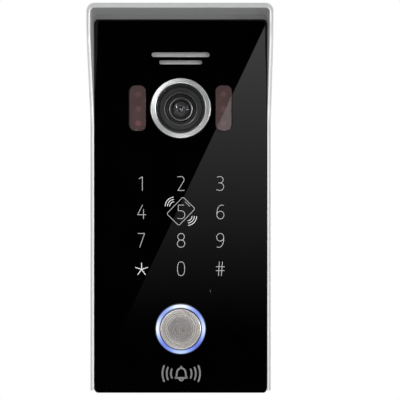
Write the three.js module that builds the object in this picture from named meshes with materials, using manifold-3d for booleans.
// Door intercom panel: a glass-fronted call station hung inside an aluminium rain hood.
//
// The model stands on a wall as it is used. While it is built, x runs across the panel, y runs up it
// and z is the distance out of the wall. The finished group is then turned so that +Z is up, the
// front faces -Y and the wall is the plane y = 0.

import * as THREE from 'three';
import { mergeVertices } from 'three/addons/utils/BufferGeometryUtils.js';
import Module from 'manifold-3d';

const wasm = await Module();
wasm.setup();

// ---------------------------------------------------------------------------------------------
// Driving dimensions, in millimetres
// ---------------------------------------------------------------------------------------------

const GAP = 0.3; // between pieces that touch
const CUT = 1; // how far a cutter runs past the face it cuts

const GLASS_WIDTH = 90;
const GLASS_HEIGHT = 195;
const GLASS_CORNER = 2;
const GLASS_FRONT = 25;
const GLASS_BACK = 22.5;

const HOOD_SHEET = 1.8;
const HOOD_WIDTH = GLASS_WIDTH + 2 * (GAP + HOOD_SHEET);
const HOOD_TOP = 102.5;
const HOOD_FOOT = -96.6;
const HOOD_FRONT = 53;
const HOOD_CORNER = 4;
const ROOF_SHEET = 2.4;
const LIP_BOTTOM = 87.5; // the side walls run straight above this height
const SLOPE_BOTTOM = 46; // and are level with the glass below this one
const SLOPE_BLEND = 8; // length of each soft corner of the slope
const WALL_HOLE_X = 30;
const WALL_HOLE_Y = 75;
const WALL_HOLE_RADIUS = 2.25;
const CABLE_OPENING = { width: 52, height: 42, corner: 5, y: -43.5 };
const HOOK = { x: 25, y: 70, width: 8, sheet: 1.5, rise: 4, reach: 6.2 };
const LUG = { width: 30, sheet: 1.5, reach: 12 };
const LOCK = { out: LUG.reach / 2 + 1, bore: 1.6, shank: 1.3, head: 2.6, thickness: 1.3, length: 6.5 };

const CASE_WIDTH = 88.8;
const CASE_HEIGHT = 192.6;
const CASE_CORNER = 3;
const CASE_WALL = 2;
const CASE_BACK = HOOD_SHEET + GAP;
const CASE_FLOOR = CASE_BACK + CASE_WALL;
const CASE_RIM = 11.7;
const SEAL_BACK = CASE_RIM + GAP;
const SEAL_FRONT = SEAL_BACK + 1;
const FRAME_RIM = SEAL_FRONT + GAP;
const FRAME_FRONT = GLASS_BACK - GAP;
const FRAME_BACK = FRAME_FRONT - 2;
const BEHIND_FRAME = FRAME_BACK - GAP; // front of the pieces that rest against the frame's back
const CASE_SCREW = { x: 38.8, y: 90.7, shank: 1.3, head: 2.7, thickness: 1.6, length: 14, recess: 2.4 };
const CASE_POST_RADIUS = 4;
const HOOK_SLOT_HEIGHT = 4.6;
const DRAIN = { x: 12, width: 6, height: 1.5 };
const LOCK_BLOCK = { width: 10, height: 6, front: 11 };
const TOP_SEAL = { corner: 0.9, back: 19.2, front: 24.7 };

const BOARD = { width: 80, height: 108, y: -31, back: 9, front: 10.6 };
const ON_BOARD = BOARD.front + GAP; // back of the pieces that stand on the main board
const BOARD_SCREW = { x: 36, dy: 50, shank: 1.1, head: 2.6, thickness: 1.5, length: 5.5 };
const BOARD_POST_RADIUS = 2.8;

const CAMERA_Y = 51.2;
const RING_OUTER = 15.75;
const RING_INNER = 12.9;
const RING_FRONT = 25.9;
const RING_LEDGE = { width: 0.9, thickness: 0.8 }; // the window rests on it
const CAMERA_WINDOW = { back: 23.6, front: 24.8 };
const LENS_FRONT = 15.5;
const BARREL_RADIUS = 6.2;
const BARREL_BACK = 8.6;
const ELEMENT_RADIUS = 4.7;
const HOLDER = { width: 15.2, front: 12.5, well: 12, wellFront: 8.3 };
const SENSOR = { width: 8, front: 8 };
const CAMERA_POST_X = 16.3;
const CAMERA_POST_RADIUS = 1.8;
const CAMERA_SCREW = { shank: 0.8, head: 1.7, thickness: 1, length: 6 };
const CAMERA_BOARD = { width: 37, height: 22, corner: 1.5, back: 5.8, front: 7 };

const IR_X = 22.5;
const IR_WINDOW = { width: 8.3, height: 23.5, corner: 3 };
const IR_PITCH = 7.7;
const IR_BOARD = { width: 8, height: 30, back: 16.2, front: 17.4 };
const IR_PIN = { radius: 0.8, fromEnd: 1.7 };
const LED = { radius: 1.5, shoulder: 20.4, front: 21.9 };

const SPEAKER_Y = 77;
const SLOTS = [
  { width: 30.3, height: 2.5, y: 79.1 },
  { width: 22.4, height: 2.2, y: 75.1 },
];
const GRILLE = { width: 36, height: 12, corner: 2, sheet: 0.6 };
const SPEAKER = { width: 40, height: 20, rimBack: 17.6, rimFront: 18.6, back: 15.2 };
const GASKET = { inset: 2, back: 18.9 };
const CONE = { width: 34.4, height: 14.4, back: 16.5, front: 18.3 };
const MAGNET = { radius: 6.8, back: 12.8, front: 14.9 };

const KEYPAD_Y = -10.4;
const LIGHT_GUIDE = { width: 54, height: 56, corner: 2 };
const KEYPAD_BOARD = { width: 66, height: 59, corner: 2, back: 18.3 };
const KEYPAD_PIN = { radius: 0.9, fromEdge: 1.8 };
const ANTENNA = { width: 56, height: 46, corner: 8, track: 4, back: 17, front: 18 };

const MIC = { x: 15.6, y: -44.8, radius: 3, back: 15.1, front: 17.9 };
const MIC_SLOT = { width: 0.9, height: 3, x: MIC.x, y: MIC.y };
const BOOT = { radius: 3.9, back: 14.8, soundHole: 0.8 };

const BUTTON_Y = -64.2;
const BUTTON_RADIUS = 10.55;
const BUTTON_FRONT = 26.2;
const LIGHT_RING_OUTER = 13;
const LIGHT_RING_INNER = BUTTON_RADIUS + GAP;
const CAP_BACK = 21.5;
const CAP_SKIN = 1.5;
const CAP_WALL = 0.95;
const PLUNGER_FLANGE = { radius: 11.2, back: 20, front: 21.2 };
const STEM = { radius: 2.2, back: 15.9 };
const LIGHT_RING = { flange: 14.6, back: 18.5, front: 25.3, stopRadius: 11.5 };
const LED_BOARD = { back: 15.6, front: 16.8, ledRadius: 13, ledSize: 2, ledFront: 18.1 };
const HOUSING = { inner: 14.9, outer: 16.9, floorBack: 14, floorFront: 15.3 };
const SWITCH = { width: 7, front: 13.6, bore: 1.9 };
const ACTUATOR = { radius: 1.6, back: 12.6, front: 15.6 };
const SPRING = { back: 15.6, front: 19.7, radius: 4.5, wire: 0.35, turns: 3 };

const CONNECTOR = { width: 20, height: 5, y: 6 };
const RELAY = { width: 10, height: 15, x: -28, y: -70, front: 17.6 };

const TERMINAL = {
  width: 30,
  height: 11,
  y: -38,
  back: 2.4,
  screwRadius: 1.8,
  screwDepth: 1.6,
  mouth: { width: 3.4, depth: 6, back: 4.6, front: 7.6 },
};
const TERMINAL_WINDOW = { width: 34, height: 26, y: -44.4 };
const TERMINAL_WAYS = 6;
const TRIMMER = { x: 21.5, y: -29, width: 6.6, back: 5.9 };
const ROTOR = { radius: 2.3, back: 4.3, front: 5.6, slotWidth: 0.7, slotLength: 3.6, slotDepth: 0.6 };

const ROUND = 28; // sides of a large round piece
const SMALL_ROUND = 12; // sides of a small one
const PIN_ROUND = 8; // sides of a pin, a screw or a pilot hole
const CORNER_STEPS = 2; // curve divisions in a rounded corner, each of two segments
const SLOPE_STEPS = 5; // segments in each soft corner of the hood's slope

// ---------------------------------------------------------------------------------------------
// Shapes and solids
// ---------------------------------------------------------------------------------------------

function roundedRect({ width, height, corner, x = 0, y = 0 }) {
  const dx = width / 2 - corner;
  const dy = height / 2 - corner;
  const shape = new THREE.Shape();
  shape.absarc(x + dx, y - dy, corner, -Math.PI / 2, 0);
  shape.absarc(x + dx, y + dy, corner, 0, Math.PI / 2);
  shape.absarc(x - dx, y + dy, corner, Math.PI / 2, Math.PI);
  shape.absarc(x - dx, y - dy, corner, Math.PI, 1.5 * Math.PI);
  shape.closePath();
  return shape;
}

const stadium = (slot) => roundedRect({ ...slot, corner: Math.min(slot.width, slot.height) / 2 });

// A copy of a sized rectangle that is wider, higher and rounder by a margin on every side.
function grown(rect, margin) {
  return {
    ...rect,
    width: rect.width + 2 * margin,
    height: rect.height + 2 * margin,
    corner: (rect.corner ?? 0) + margin,
  };
}

// A closed mesh as a solid that can be joined and cut.
function solidOf(geometry) {
  geometry.deleteAttribute('normal');
  geometry.deleteAttribute('uv');
  const merged = mergeVertices(geometry, 1e-4);
  const corners = merged.index.array;
  const triangles = [];
  for (let i = 0; i < corners.length; i += 3) {
    const [a, b, c] = corners.subarray(i, i + 3);
    if (a !== b && b !== c && c !== a) triangles.push(a, b, c);
  }
  return new wasm.Manifold(
    new wasm.Mesh({
      numProp: 3,
      vertProperties: merged.attributes.position.array,
      triVerts: new Uint32Array(triangles),
    }),
  );
}

// A flat outline given thickness between two distances from the wall.
function plate(shape, back, front) {
  const options = { depth: front - back, bevelEnabled: false, curveSegments: CORNER_STEPS };
  return solidOf(new THREE.ExtrudeGeometry(shape, options).translate(0, 0, back));
}

function block(width, height, back, front, x = 0, y = 0) {
  const geometry = new THREE.BoxGeometry(width, height, front - back);
  return solidOf(geometry.translate(x, y, (back + front) / 2));
}

// A profile of [radius, distance from the wall] points turned about a line straight out of the wall.
function turned(profile, sides = ROUND, x = 0, y = 0) {
  const points = profile.map(([radius, out]) => new THREE.Vector2(radius, out));
  const geometry = new THREE.LatheGeometry(points, sides);
  return solidOf(geometry.rotateX(Math.PI / 2).translate(x, y, 0));
}

function rod(radius, back, front, x = 0, y = 0, sides = SMALL_ROUND) {
  const profile = [
    [0, back],
    [radius, back],
    [radius, front],
    [0, front],
  ];
  return turned(profile, sides, x, y);
}

// A ring whose profile closes on itself.
function tube(inner, outer, back, front, sides = ROUND) {
  const profile = [
    [inner, back],
    [outer, back],
    [outer, front],
    [inner, front],
    [inner, back],
  ];
  return turned(profile, sides);
}

// A side outline of (height, distance from the wall) points given a width across the panel.
function across(shape, width) {
  const options = { depth: width, bevelEnabled: false, curveSegments: SLOPE_STEPS };
  const turn = new THREE.Matrix4().makeBasis(
    new THREE.Vector3(0, 1, 0),
    new THREE.Vector3(0, 0, 1),
    new THREE.Vector3(1, 0, 0),
  );
  const geometry = new THREE.ExtrudeGeometry(shape, options).translate(0, 0, -width / 2);
  return solidOf(geometry.applyMatrix4(turn));
}

const joined = (...solids) => solids.reduce((whole, next) => whole.add(next));
const cut = (solid, ...cutters) => cutters.reduce((rest, next) => rest.subtract(next), solid);

// The four places [x, y] at the corners of a rectangle.
const corners = (dx, dy, y = 0) => [
  [-dx, y + dy],
  [dx, y + dy],
  [-dx, y - dy],
  [dx, y - dy],
];

// Pins melted over hold the keypad board and the infrared boards to the frame.
const PIN_HEAD = 0.6; // how far a pin shows past its board
const IR_PIN_Y = IR_BOARD.height / 2 - IR_PIN.fromEnd;
const keypadPinPlaces = (y) =>
  corners(KEYPAD_BOARD.width / 2 - KEYPAD_PIN.fromEdge, KEYPAD_BOARD.height / 2 - KEYPAD_PIN.fromEdge, y);

// ---------------------------------------------------------------------------------------------
// Materials and pieces
// ---------------------------------------------------------------------------------------------

const finish = (color, roughness, metalness = 0) => ({ color, roughness, metalness });
const ANODISED = finish(0xb9bcc0, 0.38, 1);
const BRUSHED = finish(0xa8abb0, 0.3, 1);
const ZINC = finish(0xb4b6b8, 0.35, 1);
const BLACK_GLASS = finish(0x030304, 0.04);
const CLEAR_GLASS = finish(0x9fb0b8, 0.03);
const SMOKED = finish(0x2a1717, 0.08);
const BLACK_PLASTIC = finish(0x141416, 0.5);
const WHITE_PLASTIC = finish(0xe9ecef, 0.35);
const LIT_PLASTIC = finish(0xdfeaff, 0.4);
const GREEN_PLASTIC = finish(0x2f7d46, 0.45);
const BLUE_PLASTIC = finish(0x27509b, 0.4);
const RUBBER = finish(0x1d1d1f, 0.85);
const GREY_RUBBER = finish(0x9a9a98, 0.85);
const PAPER = finish(0x3a3530, 0.9);
const BOARD_GREEN = finish(0x0e4a2a, 0.45);
const COPPER = finish(0xb5713c, 0.35, 1);
const FERRITE = finish(0x3b3b3e, 0.6);
const SILICON = finish(0x1a2233, 0.2);

const panel = new THREE.Group();

function addPiece(name, solid, look, group = panel) {
  const { vertProperties, triVerts } = solid.getMesh();
  const geometry = new THREE.BufferGeometry();
  geometry.setAttribute('position', new THREE.BufferAttribute(vertProperties, 3));
  geometry.setIndex(new THREE.BufferAttribute(triVerts, 1));
  geometry.computeVertexNormals();
  const mesh = new THREE.Mesh(geometry, new THREE.MeshStandardMaterial(look));
  mesh.name = name;
  group.add(mesh);
  return mesh;
}

function addGroup(x, y) {
  const group = new THREE.Group();
  group.position.set(x, y, 0);
  panel.add(group);
  return group;
}

// A screw whose head faces +z, with its seat at z = 0 and a cross recess in the head.
function screw({ shank, head, thickness, length, countersunk = false }) {
  const seat = countersunk ? shank : head;
  const body = turned(
    [
      [0, -length],
      [shank * 0.6, -length],
      [shank, -length + shank],
      [shank, 0],
      [seat, 0],
      [head, thickness],
      [0, thickness],
    ],
    PIN_ROUND,
  );
  const arm = head * 1.1;
  const bar = head * 0.28;
  const floor = thickness * 0.35;
  return cut(body, block(arm, bar, floor, thickness + CUT), block(bar, arm, floor, thickness + CUT));
}

// ---------------------------------------------------------------------------------------------
// Rain hood: back plate, side walls and roof from one sheet, with hooks that carry the unit
// ---------------------------------------------------------------------------------------------

function hoodOutline(inset, roofInset, foot) {
  const half = HOOD_WIDTH / 2 - inset;
  const top = HOOD_TOP - roofInset;
  const corner = HOOD_CORNER - inset;
  const shape = new THREE.Shape();
  shape.moveTo(-half, foot);
  shape.lineTo(half, foot);
  shape.absarc(half - corner, top - corner, corner, 0, Math.PI / 2);
  shape.absarc(corner - half, top - corner, corner, Math.PI / 2, Math.PI);
  shape.closePath();
  return shape;
}

// What is cut away in front of the side walls, leaving the lip, the slope and the level part.
function slopeCutter() {
  const rise = LIP_BOTTOM - SLOPE_BOTTOM;
  const reach = HOOD_FRONT - GLASS_FRONT;
  const share = SLOPE_BLEND / Math.hypot(rise, reach);
  const shape = new THREE.Shape();
  shape.moveTo(HOOD_FOOT - CUT, GLASS_FRONT);
  shape.lineTo(SLOPE_BOTTOM - SLOPE_BLEND, GLASS_FRONT);
  shape.quadraticCurveTo(
    SLOPE_BOTTOM,
    GLASS_FRONT,
    SLOPE_BOTTOM + rise * share,
    GLASS_FRONT + reach * share,
  );
  shape.lineTo(LIP_BOTTOM - rise * share, HOOD_FRONT - reach * share);
  shape.quadraticCurveTo(LIP_BOTTOM, HOOD_FRONT, LIP_BOTTOM + SLOPE_BLEND, HOOD_FRONT);
  shape.lineTo(LIP_BOTTOM + SLOPE_BLEND, HOOD_FRONT + CUT);
  shape.lineTo(HOOD_FOOT - CUT, HOOD_FRONT + CUT);
  shape.closePath();
  return across(shape, HOOD_WIDTH + 2 * CUT);
}

function hood() {
  const shell = cut(
    plate(hoodOutline(0, 0, HOOD_FOOT), 0, HOOD_FRONT),
    plate(hoodOutline(HOOD_SHEET, ROOF_SHEET, HOOD_FOOT - CUT), HOOD_SHEET, HOOD_FRONT + CUT),
    slopeCutter(),
  );
  const lugY = HOOD_FOOT - LUG.sheet / 2;
  const lug = joined(
    block(LUG.width, LUG.sheet + CUT, 0, HOOD_SHEET, 0, lugY + CUT / 2),
    block(LUG.width, LUG.sheet, 0, LUG.reach, 0, lugY),
  );
  const hooks = [-HOOK.x, HOOK.x].map((x) =>
    joined(
      block(HOOK.width, HOOK.sheet, HOOD_SHEET - CUT, HOOK.reach, x, HOOK.y + HOOK.sheet / 2),
      block(HOOK.width, HOOK.rise, HOOK.reach - HOOK.sheet, HOOK.reach, x, HOOK.y + HOOK.rise / 2),
    ),
  );
  const wallHoles = corners(WALL_HOLE_X, WALL_HOLE_Y).map(([x, y]) =>
    rod(WALL_HOLE_RADIUS, -CUT, HOOD_SHEET + CUT, x, y),
  );
  const cable = plate(roundedRect(CABLE_OPENING), -CUT, HOOD_SHEET + CUT);
  const lock = lockHole(LUG.sheet + 2 * CUT, LOCK.head + 0.4);
  return cut(joined(shell, lug, ...hooks), ...wallHoles, cable, lock);
}

// A hole for the lock screw: it runs straight up from below the lug, and widens to its mouth there.
function lockHole(depth, mouth) {
  const foot = HOOD_FOOT - LUG.sheet;
  const profile = [
    [0, -CUT],
    [mouth + CUT, -CUT],
    [mouth, 0],
    [LOCK.bore, mouth - LOCK.bore],
    [LOCK.bore, depth],
    [0, depth],
  ];
  const points = profile.map(([r, up]) => new THREE.Vector2(r, up));
  const geometry = new THREE.LatheGeometry(points, SMALL_ROUND);
  return solidOf(geometry.translate(0, foot, LOCK.out));
}

addPiece('rain_hood', hood(), ANODISED);

const lockScrew = addPiece('lock_screw', screw({ ...LOCK, countersunk: true }), ZINC);
lockScrew.rotation.x = Math.PI / 2;
lockScrew.position.set(0, HOOD_FOOT - LUG.sheet + LOCK.thickness + 0.05, LOCK.out);

// ---------------------------------------------------------------------------------------------
// Unit shell: glass, frame, seal and rear case
// ---------------------------------------------------------------------------------------------

const caseOutline = { width: CASE_WIDTH, height: CASE_HEIGHT, corner: CASE_CORNER };

function glass() {
  const sheet = { width: GLASS_WIDTH, height: GLASS_HEIGHT, corner: GLASS_CORNER };
  const through = [GLASS_BACK - CUT, GLASS_FRONT + CUT];
  const windows = [-IR_X, IR_X].map((x) =>
    plate(roundedRect({ ...grown(IR_WINDOW, GAP), x, y: CAMERA_Y }), ...through),
  );
  return cut(
    plate(roundedRect(sheet), GLASS_BACK, GLASS_FRONT),
    rod(RING_OUTER + GAP, ...through, 0, CAMERA_Y, ROUND),
    rod(LIGHT_RING_OUTER + GAP, ...through, 0, BUTTON_Y, ROUND),
    ...windows,
    ...SLOTS.map((slot) => plate(stadium(slot), ...through)),
    plate(stadium(MIC_SLOT), ...through),
  );
}

function frame() {
  const tray = cut(
    plate(roundedRect(caseOutline), FRAME_RIM, FRAME_FRONT),
    plate(roundedRect(grown(caseOutline, -CASE_WALL)), FRAME_RIM - CUT, FRAME_BACK),
  );
  const root = FRAME_BACK + CUT;
  const screwPosts = corners(CASE_SCREW.x, CASE_SCREW.y).map(([x, y]) =>
    rod(CASE_POST_RADIUS, FRAME_RIM, root, x, y),
  );
  const cameraPosts = [-CAMERA_POST_X, CAMERA_POST_X].map((x) =>
    rod(CAMERA_POST_RADIUS, CAMERA_BOARD.front + GAP, root, x, CAMERA_Y),
  );
  const keypadPins = keypadPinPlaces(KEYPAD_Y).map(([x, y]) =>
    rod(KEYPAD_PIN.radius, KEYPAD_BOARD.back - PIN_HEAD, root, x, y, PIN_ROUND),
  );
  const irPins = corners(IR_X, IR_PIN_Y, CAMERA_Y).map(([x, y]) =>
    rod(IR_PIN.radius, IR_BOARD.back - PIN_HEAD, root, x, y, PIN_ROUND),
  );
  const through = [FRAME_BACK - CUT, FRAME_FRONT + CUT];
  const irSlots = [-IR_X, IR_X].map((x) =>
    plate(roundedRect({ ...grown(IR_WINDOW, -0.8), x, y: CAMERA_Y }), ...through),
  );
  const pocket = { ...grown(GRILLE, GAP), y: SPEAKER_Y };
  return cut(
    joined(tray, ...screwPosts, ...cameraPosts, ...keypadPins, ...irPins),
    rod(RING_INNER + GAP, ...through, 0, CAMERA_Y, ROUND),
    rod(LIGHT_RING_OUTER + GAP, ...through, 0, BUTTON_Y, ROUND),
    ...irSlots,
    plate(roundedRect({ ...grown(LIGHT_GUIDE, GAP), y: KEYPAD_Y }), ...through),
    plate(roundedRect(pocket), FRAME_FRONT - GRILLE.sheet - GAP, FRAME_FRONT + CUT),
    ...SLOTS.map((slot) => plate(stadium(slot), ...through)),
    rod(BOOT.soundHole, ...through, MIC.x, MIC.y, PIN_ROUND),
    ...corners(CASE_SCREW.x, CASE_SCREW.y).map(([x, y]) =>
      rod(CASE_SCREW.shank + GAP, FRAME_RIM - CUT, FRAME_BACK, x, y, PIN_ROUND),
    ),
    ...[-CAMERA_POST_X, CAMERA_POST_X].map((x) =>
      rod(CAMERA_SCREW.shank + GAP, CAMERA_BOARD.front - CUT, CASE_RIM + 2.5, x, CAMERA_Y, PIN_ROUND),
    ),
  );
}

function rearCase() {
  const tray = cut(
    plate(roundedRect(caseOutline), CASE_BACK, CASE_RIM),
    plate(roundedRect(grown(caseOutline, -CASE_WALL)), CASE_FLOOR, CASE_RIM + CUT),
  );
  const root = CASE_FLOOR - CUT;
  const screwPosts = corners(CASE_SCREW.x, CASE_SCREW.y).map(([x, y]) =>
    rod(CASE_POST_RADIUS, root, CASE_RIM, x, y),
  );
  const boardPosts = corners(BOARD_SCREW.x, BOARD_SCREW.dy, BOARD.y).map(([x, y]) =>
    rod(BOARD_POST_RADIUS, root, BOARD.back - GAP, x, y),
  );
  const bottom = -CASE_HEIGHT / 2;
  const lockY = bottom + (CASE_WALL + LOCK_BLOCK.height) / 2 + 0.5;
  const lockBlock = block(LOCK_BLOCK.width, LOCK_BLOCK.height, root, LOCK_BLOCK.front, 0, lockY);
  const through = [CASE_BACK - CUT, CASE_FLOOR + CUT];
  const hookSlotY = HOOK.y + HOOK.sheet + GAP - HOOK_SLOT_HEIGHT / 2;
  const hookSlots = [-HOOK.x, HOOK.x].map((x) =>
    block(HOOK.width + 2, HOOK_SLOT_HEIGHT, ...through, x, hookSlotY),
  );
  const drainOut = [CASE_FLOOR + 1, CASE_FLOOR + 1 + DRAIN.height];
  const drains = [-DRAIN.x, DRAIN.x].map((x) =>
    block(DRAIN.width, CASE_WALL + 2 * CUT, ...drainOut, x, bottom + CASE_WALL / 2),
  );
  return cut(
    joined(tray, ...screwPosts, ...boardPosts, lockBlock),
    ...corners(CASE_SCREW.x, CASE_SCREW.y).flatMap(([x, y]) => [
      rod(CASE_SCREW.shank + GAP, CASE_BACK - CUT, CASE_RIM + CUT, x, y, PIN_ROUND),
      rod(CASE_SCREW.head + GAP, CASE_BACK - CUT, CASE_BACK + CASE_SCREW.recess, x, y),
    ]),
    ...corners(BOARD_SCREW.x, BOARD_SCREW.dy, BOARD.y).map(([x, y]) =>
      rod(BOARD_SCREW.shank + GAP, CASE_FLOOR + 0.4, BOARD.back + CUT, x, y, PIN_ROUND),
    ),
    ...hookSlots,
    ...drains,
    plate(roundedRect({ ...TERMINAL_WINDOW, corner: 2 }), ...through),
    rod(ROTOR.radius + 0.7, ...through, TRIMMER.x, TRIMMER.y),
    lockHole(LOCK.length + 2.5, LOCK.bore + 0.3),
  );
}

addPiece('front_glass', glass(), BLACK_GLASS);
addPiece('front_frame', frame(), BLACK_PLASTIC);
addPiece(
  'case_seal',
  cut(
    plate(roundedRect(caseOutline), SEAL_BACK, SEAL_FRONT),
    plate(roundedRect(grown(caseOutline, -CASE_WALL)), SEAL_BACK - CUT, SEAL_FRONT + CUT),
  ),
  RUBBER,
);
addPiece('rear_case', rearCase(), BLACK_PLASTIC);

// A soft strip under the roof. It closes the gap through which the unit is lifted off its hooks.
const sealFoot = GLASS_HEIGHT / 2 + GAP;
const sealTop = HOOD_TOP - ROOF_SHEET - GAP;
const topSeal = {
  width: CASE_WIDTH,
  height: sealTop - sealFoot,
  corner: TOP_SEAL.corner,
  y: (sealFoot + sealTop) / 2,
};
addPiece('top_seal', plate(roundedRect(topSeal), TOP_SEAL.back, TOP_SEAL.front), GREY_RUBBER);

corners(CASE_SCREW.x, CASE_SCREW.y).forEach(([x, y], i) => {
  const mesh = addPiece(`case_screw_${i + 1}`, screw(CASE_SCREW), ZINC);
  mesh.rotation.y = Math.PI;
  mesh.position.set(x, y, CASE_BACK + CASE_SCREW.recess - GAP);
});

// ---------------------------------------------------------------------------------------------
// Camera: ring, window, stepped baffle, lens and sensor
// ---------------------------------------------------------------------------------------------

const camera = addGroup(0, CAMERA_Y);

const RING_CHAMFER = 0.5;
const ledgeInner = RING_INNER - RING_LEDGE.width;
const ledgeFront = GLASS_BACK + RING_LEDGE.thickness;
const ringProfile = [
  [ledgeInner, GLASS_BACK],
  [RING_OUTER, GLASS_BACK],
  [RING_OUTER, RING_FRONT - RING_CHAMFER],
  [RING_OUTER - RING_CHAMFER, RING_FRONT],
  [RING_INNER + RING_CHAMFER, RING_FRONT],
  [RING_INNER, RING_FRONT - RING_CHAMFER],
  [RING_INNER, ledgeFront],
  [ledgeInner, ledgeFront],
  [ledgeInner, GLASS_BACK],
];
addPiece('camera_ring', turned(ringProfile), ANODISED, camera);

const cameraWindow = rod(RING_INNER - GAP, CAMERA_WINDOW.back, CAMERA_WINDOW.front, 0, 0, ROUND);
addPiece('camera_window', cameraWindow, CLEAR_GLASS, camera);

// The baffle narrows towards the lens in four steps that keep stray light out.
const baffleProfile = [
  [14.2, 18.7],
  [14.2, BEHIND_FRAME],
  [12.9, BEHIND_FRAME],
  [12.9, FRAME_FRONT],
  [12, FRAME_FRONT],
  [10.9, 20.4],
  [10.2, 20.4],
  [9.6, 18.2],
  [8.7, 18.2],
  [8, 16.4],
  [7.2, 16.4],
  [6.6, 14.6],
  [7.6, 14.6],
  [9.2, 17],
  [14.2, 18.7],
];
addPiece('camera_baffle', turned(baffleProfile), BLACK_PLASTIC, camera);

const barrelProfile = [
  [0, BARREL_BACK],
  [BARREL_RADIUS, BARREL_BACK],
  [BARREL_RADIUS, LENS_FRONT],
  [ELEMENT_RADIUS + GAP, LENS_FRONT],
  [ELEMENT_RADIUS + GAP, LENS_FRONT - 2.6],
  [2.2, LENS_FRONT - 3.4],
  [1, LENS_FRONT - 3.4],
  [1, LENS_FRONT - 4.4],
  [0, LENS_FRONT - 4.4],
];
addPiece('lens_barrel', turned(barrelProfile), BLACK_PLASTIC, camera);

const elementProfile = [
  [0, LENS_FRONT - 1.6],
  [2.6, LENS_FRONT - 2],
  [ELEMENT_RADIUS, LENS_FRONT - 2.3],
  [ELEMENT_RADIUS, LENS_FRONT - 1.1],
  [3.6, LENS_FRONT - 0.6],
  [2, LENS_FRONT - 0.2],
  [0, LENS_FRONT],
];
addPiece('lens_element', turned(elementProfile), CLEAR_GLASS, camera);

const onCameraBoard = CAMERA_BOARD.front + GAP;
const holder = cut(
  block(HOLDER.width, HOLDER.width, onCameraBoard, HOLDER.front),
  rod(BARREL_RADIUS + GAP, onCameraBoard, HOLDER.front + CUT, 0, 0, ROUND),
  block(HOLDER.well, HOLDER.well, CAMERA_BOARD.front, HOLDER.wellFront),
);
addPiece('lens_holder', holder, BLACK_PLASTIC, camera);
addPiece('image_sensor', block(SENSOR.width, SENSOR.width, onCameraBoard, SENSOR.front), SILICON, camera);

const cameraBoard = cut(
  plate(roundedRect(CAMERA_BOARD), CAMERA_BOARD.back, CAMERA_BOARD.front),
  ...[-CAMERA_POST_X, CAMERA_POST_X].map((x) =>
    rod(CAMERA_SCREW.shank + GAP, CAMERA_BOARD.back - CUT, onCameraBoard + CUT, x, 0, PIN_ROUND),
  ),
);
addPiece('camera_board', cameraBoard, BOARD_GREEN, camera);

[-CAMERA_POST_X, CAMERA_POST_X].forEach((x, i) => {
  const mesh = addPiece(`camera_screw_${i + 1}`, screw(CAMERA_SCREW), ZINC, camera);
  mesh.rotation.y = Math.PI;
  mesh.position.set(x, 0, CAMERA_BOARD.back - GAP);
});

// The flat ribbon steps from the camera board up to the main board's front face.
function ribbon() {
  const thickness = 0.4;
  const path = [
    [CAMERA_Y - 8, CAMERA_BOARD.front + GAP],
    [CAMERA_Y - 14, CAMERA_BOARD.front + GAP],
    [29, ON_BOARD],
    [17, ON_BOARD],
  ];
  const shape = new THREE.Shape();
  path.forEach(([y, z], i) => (i ? shape.lineTo(y, z) : shape.moveTo(y, z)));
  path.reverse().forEach(([y, z]) => shape.lineTo(y, z + thickness));
  shape.closePath();
  return across(shape, 8);
}

addPiece('camera_ribbon', ribbon(), COPPER);

// ---------------------------------------------------------------------------------------------
// Infrared lights on both sides of the camera
// ---------------------------------------------------------------------------------------------

const irBoard = cut(
  plate(roundedRect({ ...IR_BOARD, corner: 1 }), IR_BOARD.back, IR_BOARD.front),
  ...[-IR_PIN_Y, IR_PIN_Y].map((y) =>
    rod(IR_PIN.radius + GAP, IR_BOARD.back - CUT, IR_BOARD.front + CUT, 0, y, PIN_ROUND),
  ),
);
const irWindow = plate(roundedRect(IR_WINDOW), GLASS_BACK, GLASS_FRONT - 0.1);
const ledProfile = [
  [0, IR_BOARD.front + GAP],
  [LED.radius, IR_BOARD.front + GAP],
  [LED.radius, LED.shoulder],
  [LED.radius * 0.7, LED.front - 0.4],
  [0, LED.front],
];

for (const [side, x] of [['left', -IR_X], ['right', IR_X]]) {
  const group = addGroup(x, CAMERA_Y);
  addPiece(`ir_window_${side}`, irWindow, SMOKED, group);
  addPiece(`ir_board_${side}`, irBoard, BOARD_GREEN, group);
  for (const row of [1, 2, 3]) {
    const led = addPiece(`ir_led_${side}_${row}`, turned(ledProfile, SMALL_ROUND), CLEAR_GLASS, group);
    led.position.y = (2 - row) * IR_PITCH;
  }
}

// ---------------------------------------------------------------------------------------------
// Loudspeaker behind its two slots
// ---------------------------------------------------------------------------------------------

const speaker = addGroup(0, SPEAKER_Y);
addPiece(
  'speaker_grille',
  plate(roundedRect(GRILLE), FRAME_FRONT - GRILLE.sheet, FRAME_FRONT),
  ZINC,
  speaker,
);
addPiece(
  'speaker_gasket',
  cut(
    plate(stadium(SPEAKER), GASKET.back, BEHIND_FRAME),
    plate(stadium(grown(SPEAKER, -GASKET.inset)), GASKET.back - CUT, BEHIND_FRAME + CUT),
  ),
  RUBBER,
  speaker,
);

// The basket is a rimmed cup that holds the cone clear of its walls.
const basket = cut(
  joined(
    plate(stadium(SPEAKER), SPEAKER.rimBack, SPEAKER.rimFront),
    plate(stadium(grown(CONE, 1.1)), SPEAKER.back, SPEAKER.rimFront),
  ),
  plate(stadium(grown(CONE, GAP)), CONE.back - GAP, SPEAKER.rimFront + CUT),
);
addPiece('speaker_frame', basket, ZINC, speaker);

const cone = cut(
  plate(stadium(CONE), CONE.back, CONE.front),
  plate(stadium(grown(CONE, -1.7)), CONE.back + 0.6, CONE.front + CUT),
);
addPiece('speaker_cone', cone, PAPER, speaker);
addPiece('speaker_magnet', rod(MAGNET.radius, MAGNET.back, MAGNET.front, 0, 0, ROUND), FERRITE, speaker);

// ---------------------------------------------------------------------------------------------
// Microphone in a rubber boot
// ---------------------------------------------------------------------------------------------

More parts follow.
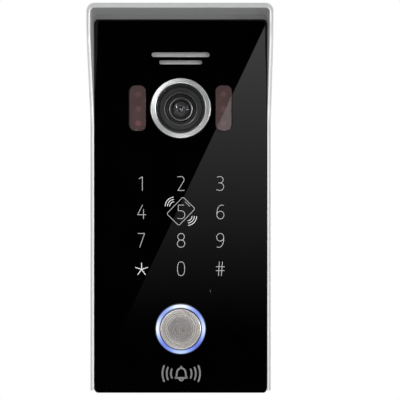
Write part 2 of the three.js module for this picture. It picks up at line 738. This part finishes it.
const mic = addGroup(MIC.x, MIC.y);
const boot = cut(
  rod(BOOT.radius, BOOT.back, BEHIND_FRAME),
  rod(MIC.radius + GAP, BOOT.back - CUT, MIC.front + GAP),
  rod(BOOT.soundHole, MIC.front, BEHIND_FRAME + CUT, 0, 0, PIN_ROUND),
);
addPiece('microphone_boot', boot, RUBBER, mic);
addPiece('microphone', rod(MIC.radius, MIC.back, MIC.front), ZINC, mic);

// ---------------------------------------------------------------------------------------------
// Keypad: printed sheet lit from behind, touch board and card-reader antenna
// ---------------------------------------------------------------------------------------------

const keypad = addGroup(0, KEYPAD_Y);
addPiece(
  'keypad_light_guide',
  plate(roundedRect(LIGHT_GUIDE), FRAME_BACK, FRAME_FRONT),
  WHITE_PLASTIC,
  keypad,
);
addPiece(
  'keypad_board',
  cut(
    plate(roundedRect(KEYPAD_BOARD), KEYPAD_BOARD.back, BEHIND_FRAME),
    ...keypadPinPlaces(0).map(([x, y]) =>
      rod(KEYPAD_PIN.radius + GAP, KEYPAD_BOARD.back - CUT, BEHIND_FRAME + CUT, x, y, PIN_ROUND),
    ),
  ),
  BOARD_GREEN,
  keypad,
);
addPiece(
  'rfid_antenna',
  cut(
    plate(roundedRect(ANTENNA), ANTENNA.back, ANTENNA.front),
    plate(roundedRect(grown(ANTENNA, -ANTENNA.track)), ANTENNA.back - CUT, ANTENNA.front + CUT),
  ),
  COPPER,
  keypad,
);

// ---------------------------------------------------------------------------------------------
// Call button: steel cap on a sprung plunger inside a lit ring
// ---------------------------------------------------------------------------------------------

const button = addGroup(0, BUTTON_Y);

const capInner = BUTTON_RADIUS - CAP_WALL;
const capFloor = BUTTON_FRONT - CAP_SKIN;
const capProfile = [
  [0, capFloor],
  [capInner, capFloor],
  [capInner, CAP_BACK],
  [BUTTON_RADIUS, CAP_BACK],
  [BUTTON_RADIUS, BUTTON_FRONT - 0.4],
  [BUTTON_RADIUS - 0.4, BUTTON_FRONT],
  [0, BUTTON_FRONT - 0.3],
];
addPiece('button_cap', turned(capProfile), BRUSHED, button);

const plungerProfile = [
  [0, STEM.back],
  [STEM.radius, STEM.back],
  [STEM.radius, PLUNGER_FLANGE.back],
  [PLUNGER_FLANGE.radius, PLUNGER_FLANGE.back],
  [PLUNGER_FLANGE.radius, PLUNGER_FLANGE.front],
  [capInner - GAP, PLUNGER_FLANGE.front],
  [capInner - GAP, capFloor - GAP],
  [0, capFloor - GAP],
];
addPiece('button_plunger', turned(plungerProfile), BLACK_PLASTIC, button);

// The step inside the ring stops the plunger's flange and so keeps the button in.
const lightRingProfile = [
  [LIGHT_RING.stopRadius, LIGHT_RING.back],
  [LIGHT_RING.flange, LIGHT_RING.back],
  [LIGHT_RING.flange, BEHIND_FRAME],
  [LIGHT_RING_OUTER, BEHIND_FRAME],
  [LIGHT_RING_OUTER, LIGHT_RING.front],
  [LIGHT_RING_INNER, LIGHT_RING.front],
  [LIGHT_RING_INNER, PLUNGER_FLANGE.front + GAP],
  [LIGHT_RING.stopRadius, PLUNGER_FLANGE.front + GAP],
  [LIGHT_RING.stopRadius, LIGHT_RING.back],
];
addPiece('button_light_ring', turned(lightRingProfile), LIT_PLASTIC, button);

// A ring-shaped board with a light on each diagonal.
function ledBoard() {
  const { back, front, ledRadius, ledSize, ledFront } = LED_BOARD;
  const board = tube(LIGHT_RING.stopRadius, LIGHT_RING.flange, back, front);
  const leds = [0, 1, 2, 3].map((i) => {
    const angle = Math.PI / 4 + (i * Math.PI) / 2;
    const [x, y] = [ledRadius * Math.cos(angle), ledRadius * Math.sin(angle)];
    return block(ledSize, ledSize, (back + front) / 2, ledFront, x, y);
  });
  return joined(board, ...leds);
}

addPiece('button_led_board', ledBoard(), BOARD_GREEN, button);

// The housing stands on the main board; its floor guides the plunger's stem and carries the spring.
const stemBore = STEM.radius + GAP;
const housingProfile = [
  [stemBore, HOUSING.floorBack],
  [HOUSING.inner, HOUSING.floorBack],
  [HOUSING.inner, ON_BOARD],
  [HOUSING.outer, ON_BOARD],
  [HOUSING.outer, BEHIND_FRAME],
  [HOUSING.inner, BEHIND_FRAME],
  [HOUSING.inner, HOUSING.floorFront],
  [stemBore, HOUSING.floorFront],
  [stemBore, HOUSING.floorBack],
];
addPiece('button_housing', turned(housingProfile), BLACK_PLASTIC, button);

class Helix extends THREE.Curve {
  constructor({ back, front, radius, wire, turns }) {
    super();
    Object.assign(this, { start: back + wire, rise: front - back - 2 * wire, radius, turns });
  }

  getPoint(t, target = new THREE.Vector3()) {
    const angle = 2 * Math.PI * this.turns * t;
    return target.set(
      this.radius * Math.cos(angle),
      this.radius * Math.sin(angle),
      this.start + this.rise * t,
    );
  }
}

function spring() {
  const section = new THREE.Shape();
  section.absarc(0, 0, SPRING.wire, 0, 2 * Math.PI);
  const geometry = new THREE.ExtrudeGeometry(section, {
    extrudePath: new Helix(SPRING),
    steps: 12 * SPRING.turns,
    curveSegments: 3,
    bevelEnabled: false,
  });
  return solidOf(geometry);
}

addPiece('button_spring', spring(), ZINC, button);
addPiece(
  'button_switch',
  cut(
    block(SWITCH.width, SWITCH.width, ON_BOARD, SWITCH.front),
    rod(SWITCH.bore, ON_BOARD + GAP, SWITCH.front + CUT),
  ),
  BLACK_PLASTIC,
  button,
);
addPiece('switch_actuator', rod(ACTUATOR.radius, ACTUATOR.back, ACTUATOR.front), WHITE_PLASTIC, button);

// ---------------------------------------------------------------------------------------------
// Main board with the parts on it
// ---------------------------------------------------------------------------------------------

const boardHoles = corners(BOARD_SCREW.x, BOARD_SCREW.dy, BOARD.y);
addPiece(
  'main_board',
  cut(
    plate(roundedRect({ ...BOARD, corner: 2 }), BOARD.back, BOARD.front),
    ...boardHoles.map(([x, y]) =>
      rod(BOARD_SCREW.shank + GAP, BOARD.back - CUT, ON_BOARD + CUT, x, y, PIN_ROUND),
    ),
  ),
  BOARD_GREEN,
);
boardHoles.forEach(([x, y], i) => {
  const mesh = addPiece(`board_screw_${i + 1}`, screw(BOARD_SCREW), ZINC);
  mesh.position.set(x, y, ON_BOARD);
});

const connector = block(CONNECTOR.width, CONNECTOR.height, ON_BOARD, ANTENNA.front, 0, CONNECTOR.y);
addPiece('board_connector', connector, BLACK_PLASTIC);
const relay = block(RELAY.width, RELAY.height, ON_BOARD, RELAY.front, RELAY.x, RELAY.y);
addPiece('relay', relay, BLUE_PLASTIC);

// The supply wires enter the terminal block from below and are clamped by screws reached from behind.
function terminalBlock() {
  const pitch = TERMINAL.width / TERMINAL_WAYS;
  const places = Array.from({ length: TERMINAL_WAYS }, (_, i) => (i + 0.5) * pitch - TERMINAL.width / 2);
  const { width, height, y, back, screwRadius, screwDepth, mouth } = TERMINAL;
  const screwY = y + height / 2 - 2 * screwRadius;
  const mouthY = y - height / 2;
  return cut(
    block(width, height, back, BOARD.back - GAP, 0, y),
    ...places.map((x) => rod(screwRadius, back - CUT, back + screwDepth, x, screwY, PIN_ROUND)),
    ...places.map((x) => block(mouth.width, mouth.depth, mouth.back, mouth.front, x, mouthY)),
  );
}

addPiece('terminal_block', terminalBlock(), GREEN_PLASTIC);

const trimmer = addGroup(TRIMMER.x, TRIMMER.y);
const trimmerBody = block(TRIMMER.width, TRIMMER.width, TRIMMER.back, BOARD.back - GAP);
addPiece('trimmer_body', trimmerBody, BLUE_PLASTIC, trimmer);
const rotor = cut(
  rod(ROTOR.radius, ROTOR.back, ROTOR.front, 0, 0, ROUND),
  block(ROTOR.slotWidth, ROTOR.slotLength, ROTOR.back - CUT, ROTOR.back + ROTOR.slotDepth),
);
addPiece('trimmer_rotor', rotor, WHITE_PLASTIC, trimmer);

// The wall becomes the plane y = 0 and +Z points up.
panel.rotation.x = Math.PI / 2;

export default panel;
